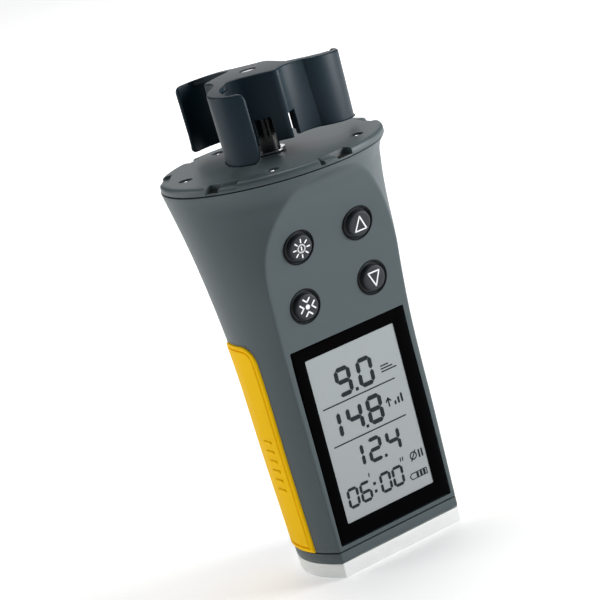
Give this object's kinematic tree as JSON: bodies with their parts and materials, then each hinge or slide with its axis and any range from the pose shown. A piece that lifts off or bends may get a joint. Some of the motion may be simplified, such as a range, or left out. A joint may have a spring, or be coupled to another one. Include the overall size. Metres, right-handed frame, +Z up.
{
  "type": "cup anemometer",
  "caption": "Hand-held wind meter: slim housing flaring to a round head, three-cup rotor on top, display, four keys and side grips.",
  "frame": {"origin": "on the standing surface, under the middle of the head (the rotor axis)", "axes": "+Z up along the rotor axis, -Y out of the front panel, +X to the right of a person looking at the front panel"},
  "size_m": [0.057, 0.0569, 0.1252],
  "materials": {
    "satin_grey": "satin moulded grey-blue",
    "rotor_black": "fine satin, near black",
    "grip_yellow": "soft golden yellow",
    "foot_metal": "fine satin silver",
    "black_plastic": "black moulded",
    "key_black": "satin black keys, white printed symbols",
    "window_black": "black printed window, gloss",
    "lcd_grey": "grey display glass",
    "seal_rubber": "black rubber",
    "screw_steel": "bright screw",
    "shaft_steel": "turned and polished",
    "magnet_grey": "nickelled magnet",
    "board_green": "green board",
    "cell_label": "plain printed sleeve",
    "contact_nickel": "nickelled spring steel",
    "insert_brass": "turned brass"
  },
  "bodies": {
    "body": {"main_housing": "satin_grey", "head_cap": "satin_grey", "head_seal": "seal_rubber", "head_screw_1": "screw_steel", "head_screw_2": "screw_steel", "head_screw_3": "screw_steel", "head_screw_4": "screw_steel", "head_screw_5": "screw_steel", "bearing_tube": "black_plastic", "tube_washer": "shaft_steel", "upper_bearing": "shaft_steel", "lower_bearing": "shaft_steel", "display_window": "window_black", "lcd_glass": "lcd_grey", "lcd_frame": "black_plastic", "lcd_connector": "seal_rubber", "main_board": "board_green", "hall_sensor": "black_plastic", "keypad_mat": "seal_rubber", "grip_left": "grip_yellow", "cell_left": "cell_label", "cell_spring_left": "contact_nickel", "grip_right": "grip_yellow", "cell_right": "cell_label", "cell_spring_right": "contact_nickel", "cell_tray": "black_plastic", "cell_bridge": "contact_nickel", "battery_cap": "satin_grey", "cap_seal": "seal_rubber", "base_plate": "foot_metal", "base_screw": "screw_steel", "tripod_insert": "insert_brass"},
    "rotor": {"cup_rotor": "rotor_black", "rotor_shaft": "shaft_steel", "rotor_magnet": "magnet_grey", "shaft_clip": "shaft_steel"},
    "key_power": {"key_power": "key_black"},
    "key_up": {"key_up": "key_black"},
    "key_hold": {"key_hold": "key_black"},
    "key_down": {"key_down": "key_black"}
  },
  "joints": [
    {"name": "rotor_spin", "type": "hinge", "parent": "body", "child": "rotor", "pos_m": [0, 0, 0.115], "axis": [0, 0, 1], "continuous": true},
    {"name": "key_power_press", "type": "slide", "parent": "body", "child": "key_power", "axis": [0, 0.9744, 0.225], "range_m": [0, 0.0007], "stiffness_N_per_m": 400},
    {"name": "key_up_press", "type": "slide", "parent": "body", "child": "key_up", "axis": [0, 0.9744, 0.225], "range_m": [0, 0.0007], "stiffness_N_per_m": 400},
    {"name": "key_hold_press", "type": "slide", "parent": "body", "child": "key_hold", "axis": [0, 0.9962, 0.0872], "range_m": [0, 0.0007], "stiffness_N_per_m": 400},
    {"name": "key_down_press", "type": "slide", "parent": "body", "child": "key_down", "axis": [0, 0.9962, 0.0872], "range_m": [0, 0.0007], "stiffness_N_per_m": 400}
  ]
}
